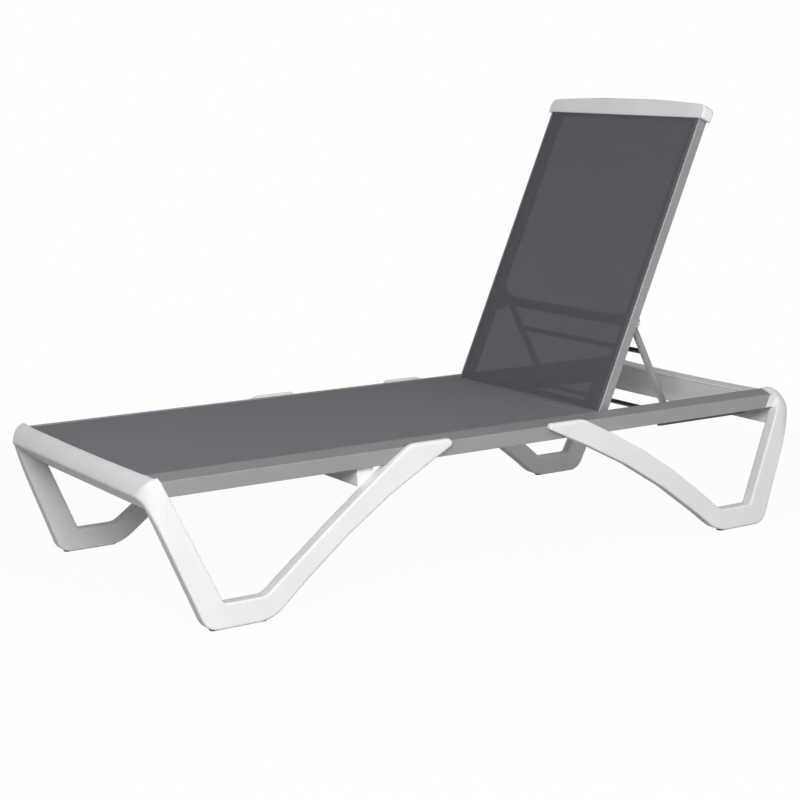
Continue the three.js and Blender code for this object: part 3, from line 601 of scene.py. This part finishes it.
def top_cap():
    """The back's moulded cap, gently arched, with sockets for the back's rails and cloth."""
    crown = BACK_LENGTH + CAP_ARCH
    front = rounded_outline([
        (-CAP_HALF, CAP_LOW, 0), (CAP_HALF, CAP_LOW, 0), (CAP_HALF, BACK_LENGTH, CAP_CORNER_ROUND),
        (0, BACK_LENGTH + 2 * CAP_ARCH, CAP_ARCH_SHARE * CAP_HALF),
        (-CAP_HALF, BACK_LENGTH, CAP_CORNER_ROUND)])
    side = Section(rounded_outline([
        (-CAP_DEPTH, CAP_LOW - BEYOND, 0), (CAP_DEPTH, CAP_LOW - BEYOND, 0),
        (CAP_DEPTH, crown, CAP_CROWN_ROUND), (-CAP_DEPTH, crown, CAP_CROWN_ROUND)]))

    def shape(x, y, z):
        return both(outline_distance(y, z, front), side(x, z), EDGE_ROUND)

    points, faces = skin(shape, (-CAP_DEPTH, 0, CAP_LOW), (CAP_DEPTH, CAP_HALF, crown), CAP_CELL)
    piece = new_piece("back_cap_moulding", [back_point(*point) for point in points], faces,
                      "back", RESIN)
    under = CAP_LOW - BEYOND

    def room(front_x, rear_x, *spans):
        loop = box_loop(front_x, rear_x, under, CAP_SOCKET)
        return prisms([back_point(x, 0, z)[::2] for x, z in loop], *spans)

    edges = BACK_RAIL_IN - GAP, BACK_HALF + GAP
    socket = room(-BACK_DEPTH - GAP, BACK_DEPTH + GAP, edges, [-edge for edge in edges])
    slot_half = BACK_CHANNEL + GAP
    slot = room(-BACK_DEPTH - 2 * GAP - SLING_SOLID, GAP - BACK_DEPTH, (-slot_half, slot_half))
    carve(piece, *socket, *slot)
    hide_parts("back_top_cap")


def cloth(name, sections, body, material, nodes_replaced):
    """A closed thin sheet from sections of (top point, bottom point) pairs."""
    rows, columns = len(sections), len(sections[0])
    points = [p for layer in (0, 1) for row in sections for p in (pair[layer] for pair in row)]
    faces = []
    size = rows * columns
    for r in range(rows - 1):
        for c in range(columns - 1):
            a = r * columns + c
            faces.append((a, a + 1, a + columns + 1, a + columns))
            faces.append(tuple(size + i for i in (a, a + columns, a + columns + 1, a + 1)))
    rim = ([(r, 0) for r in range(rows)]
           + [(rows - 1, c) for c in range(1, columns)]
           + [(r, columns - 1) for r in range(rows - 2, -1, -1)]
           + [(0, c) for c in range(columns - 2, 0, -1)])
    ids = [r * columns + c for r, c in rim]
    for a, b in zip(ids, ids[1:] + ids[:1]):
        faces.append((a, size + a, size + b, b)[::-1])
    piece = new_piece(name, points, faces, body, material)
    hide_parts(*nodes_replaced)


def sheet_sections(stations, height, path_across, turn):
    """Pairs of points over a surface, at each place along it; path_across gives (side, drop, lean)."""
    sections = []
    for along in stations:
        row = []
        for side, drop, lean in path_across(along):
            upper = turn(along, side, height - drop)
            lower = turn(along, side - math.sin(lean) * CLOTH, height - drop - math.cos(lean) * CLOTH)
            row.append((upper, lower))
        sections.append(row)
    return sections


def edge_path(half, sag, tuck):
    """The cloth's path across the lounger, as (side, drop, lean): a slight sag, then down both channels."""
    points = [(s, sag * (1 - (s / half) ** 2), 0.0) for s in np.linspace(0, half - FOLD, FLAT_STEPS)]
    for k in range(1, FOLD_STEPS + 1):
        angle = math.radians(90 * k / FOLD_STEPS)
        points.append((half - FOLD + FOLD * math.sin(angle), FOLD * (1 - math.cos(angle)), angle))
    points.append((half, FOLD + tuck, math.pi / 2))
    mirrored = [(-s, d, -a) for s, d, a in points[:0:-1]]
    return mirrored + points


def cloth_stations(low, high, second_step, count):
    """Places along a cloth, closer together at both ends."""
    return np.concatenate([
        [low, low + END_STEP], np.linspace(low + second_step, high - LAST_STEP, count),
        [high - END_STEP, high]])


def seat_sling():
    """The seat's cloth: it dips with the foot bar, lies level at its rear, and its first row isn't tucked."""
    half = SEAT_CHANNEL - GAP
    low, high = GAP - FOOT_LIP, SEAT_END - SEAT_CLOTH_SHORT

    def across(along):
        sag = FOOT_DIP * math.sin(np.clip((high - DIP_ENDS - along) / DIP_FADES, 0, 1) * math.pi / 2)
        if along > low:
            return edge_path(half, sag, SEAT_TUCK)
        return [(s, sag * (1 - (s / half) ** 2), 0.0) for s, _, _ in edge_path(half, sag, 0)]

    stations = cloth_stations(low, high, second_step=22, count=60)
    sections = sheet_sections(stations, SEAT_TOP, across, lambda a, s, h: (a, s, h))
    cloth("seat_sling_cloth", sections, "frame", SEAT_MESH_PAINTED_LIGHTER,
          ("seat_sling", "seat_cord_left", "seat_cord_right"))


def back_sling():
    """The back's cloth, which sags most at half its height."""
    low, high = BACK_CLOTH_LOW, BACK_CLOTH_HIGH
    front = BACK_DEPTH + GAP + SLING_SOLID

    def across(along):
        run = math.sin(math.pi * np.clip((along - low) / (high - low), 0, 1)) ** SAG_POWER
        return edge_path(BACK_CHANNEL - GAP, BACK_SAG * run, BACK_TUCK)

    stations = cloth_stations(low, high, second_step=20, count=48)
    sections = sheet_sections(stations, front, across, lambda a, s, h: back_point(-h, -s, a))
    cloth("back_sling_cloth", sections, "back", BACK_MESH,
          ("back_sling", "back_cord_left", "back_cord_right"))


end_moulding("foot", arm_starts=110, cutters=foot_cutters)
end_moulding("head", arm_starts=85, cutters=head_cutters)
top_cap()
seat_sling()
back_sling()

FINISHES = {
    "side_rail": GREY, "seat_rear_tube": GREY, "back_rail": GREY, "back_wide_bar": GREY,
    "back_lower_tube": GREY, "prop_bracket": GREY, "prop_arm": GREY, "prop_cross_rod": DARK,
    "prop_foot_rod": DARK, "prop_bush": RESIN, "under_seat_stretcher": RESIN,
    "notch_rack": GREY_NYLON, "hinge_spacer": NYLON, "foot_glide": NYLON, "head_glide": NYLON,
    "rack_screw": STEEL, "hinge_bolt": STEEL, "hinge_nut": STEEL, "prop_pivot_bolt": STEEL,
}
for name, node in nodes.items():
    for start, material in FINISHES.items():
        if name.startswith(start):
            node.data.materials.clear()
            node.data.materials.append(material)


# The studio, in metres, but for the floor's half size in millimetres
LAMP_AIM = Vector((0, 0, 0.3))
FLOOR_HALF = 9000
FADE_STARTS, FADE_ENDS = 1.4, 2.6
FLOOR_GLOW = 0.96
FLOOR_SHOWN, FLOOR_IN_BOUNCES = (0.93, 0.93, 0.93, 1), (0.20, 0.20, 0.205, 1)
WORLD_LIGHT = 0.27


def floor_and_light():
    """A white floor with a faint shadow, darker to bounced light, a white surround and soft lamps."""
    paint = Paint("pale_floor", Roughness=0.9)
    tree = paint.tree
    ray = paint.node("ShaderNodeLightPath", output="Is Camera Ray")
    gloss = paint.node("ShaderNodeLightPath", output="Is Glossy Ray")
    seen = ray.larger(gloss)
    x, y, _ = paint.split(paint.place)
    far = (x * x + y * y).sum("SQRT").between(FADE_STARTS, FADE_ENDS)
    glow = far * (1 - FLOOR_GLOW) + FLOOR_GLOW
    shown, hidden, white = (tree.nodes.new(kind) for kind in (
        "ShaderNodeBsdfDiffuse", "ShaderNodeBsdfDiffuse", "ShaderNodeEmission"))
    shown.inputs["Color"].default_value = FLOOR_SHOWN
    hidden.inputs["Color"].default_value = FLOOR_IN_BOUNCES
    fade, choose = tree.nodes.new("ShaderNodeMixShader"), tree.nodes.new("ShaderNodeMixShader")
    tree.links.new(glow.socket, fade.inputs[0])
    tree.links.new(shown.outputs[0], fade.inputs[1])
    tree.links.new(white.outputs[0], fade.inputs[2])
    tree.links.new(seen.socket, choose.inputs[0])
    tree.links.new(hidden.outputs[0], choose.inputs[1])
    tree.links.new(fade.outputs[0], choose.inputs[2])
    tree.links.new(choose.outputs[0], tree.nodes["Material Output"].inputs["Surface"])
    low, high = -FLOOR_HALF, FLOOR_HALF
    floor = new_piece("floor", [(low, low, 0), (high, low, 0), (high, high, 0), (low, high, 0)],
                      [(0, 1, 2, 3)], None, paint.material, smooth=False)

    world = bpy.data.worlds.new("studio")
    bpy.context.scene.world = world
    world.use_nodes = True
    tree = world.node_tree
    soft, white = tree.nodes["Background"], tree.nodes.new("ShaderNodeBackground")
    white.inputs["Color"].default_value = (1, 1, 1, 1)
    soft.inputs["Color"].default_value = (0.97, 0.96, 1, 1)
    soft.inputs["Strength"].default_value = WORLD_LIGHT
    path, mix = tree.nodes.new("ShaderNodeLightPath"), tree.nodes.new("ShaderNodeMixShader")
    tree.links.new(path.outputs["Is Camera Ray"], mix.inputs[0])
    tree.links.new(soft.outputs[0], mix.inputs[1])
    tree.links.new(white.outputs[0], mix.inputs[2])
    tree.links.new(mix.outputs[0], tree.nodes["World Output"].inputs["Surface"])

    for name, place, size, power in (
            ("key", (-2.8, -3.4, 2.6), 2.0, 160),
            ("fill", (2.2, -4.2, 3.0), 2.6, 42),
            ("front", (-0.6, -5.2, 1.6), 2.4, 46)):
        lamp = bpy.data.lights.new(name, "AREA")
        lamp.shape, lamp.size, lamp.energy = "DISK", size, power
        holder = bpy.data.objects.new(name, lamp)
        bpy.context.collection.objects.link(holder)
        holder.location = place
        holder.rotation_mode = "QUATERNION"
        holder.rotation_quaternion = (LAMP_AIM - Vector(place)).to_track_quat("-Z", "Y")


# The photograph's camera: a sensor in millimetres, picture sizes in pixels, its place in metres
SENSOR = 36
FOCAL_PIXELS, PICTURE_PIXELS = 1813.4, 800
CAMERA_PLACE = (-2.5365, -3.6542, 1.2025)
CAMERA_DOWN, CAMERA_TURN = math.radians(10.823), math.radians(34.103)


def photograph_camera():
    """The photograph's own viewpoint, worked out from the lounger's feet, rails and cloth lines."""
    lens = bpy.data.cameras.new("photograph_camera")
    lens.sensor_width, lens.lens = SENSOR, SENSOR * FOCAL_PIXELS / PICTURE_PIXELS
    lens.clip_start, lens.clip_end = 0.05, 60
    camera = bpy.data.objects.new("photograph_camera", lens)
    bpy.context.collection.objects.link(camera)
    camera.location = CAMERA_PLACE
    camera.rotation_euler = (math.pi / 2 - CAMERA_DOWN, 0, -CAMERA_TURN)
    bpy.context.scene.camera = camera


floor_and_light()
photograph_camera()
bpy.context.scene.view_settings.view_transform = "Standard"
bpy.context.view_layer.update()
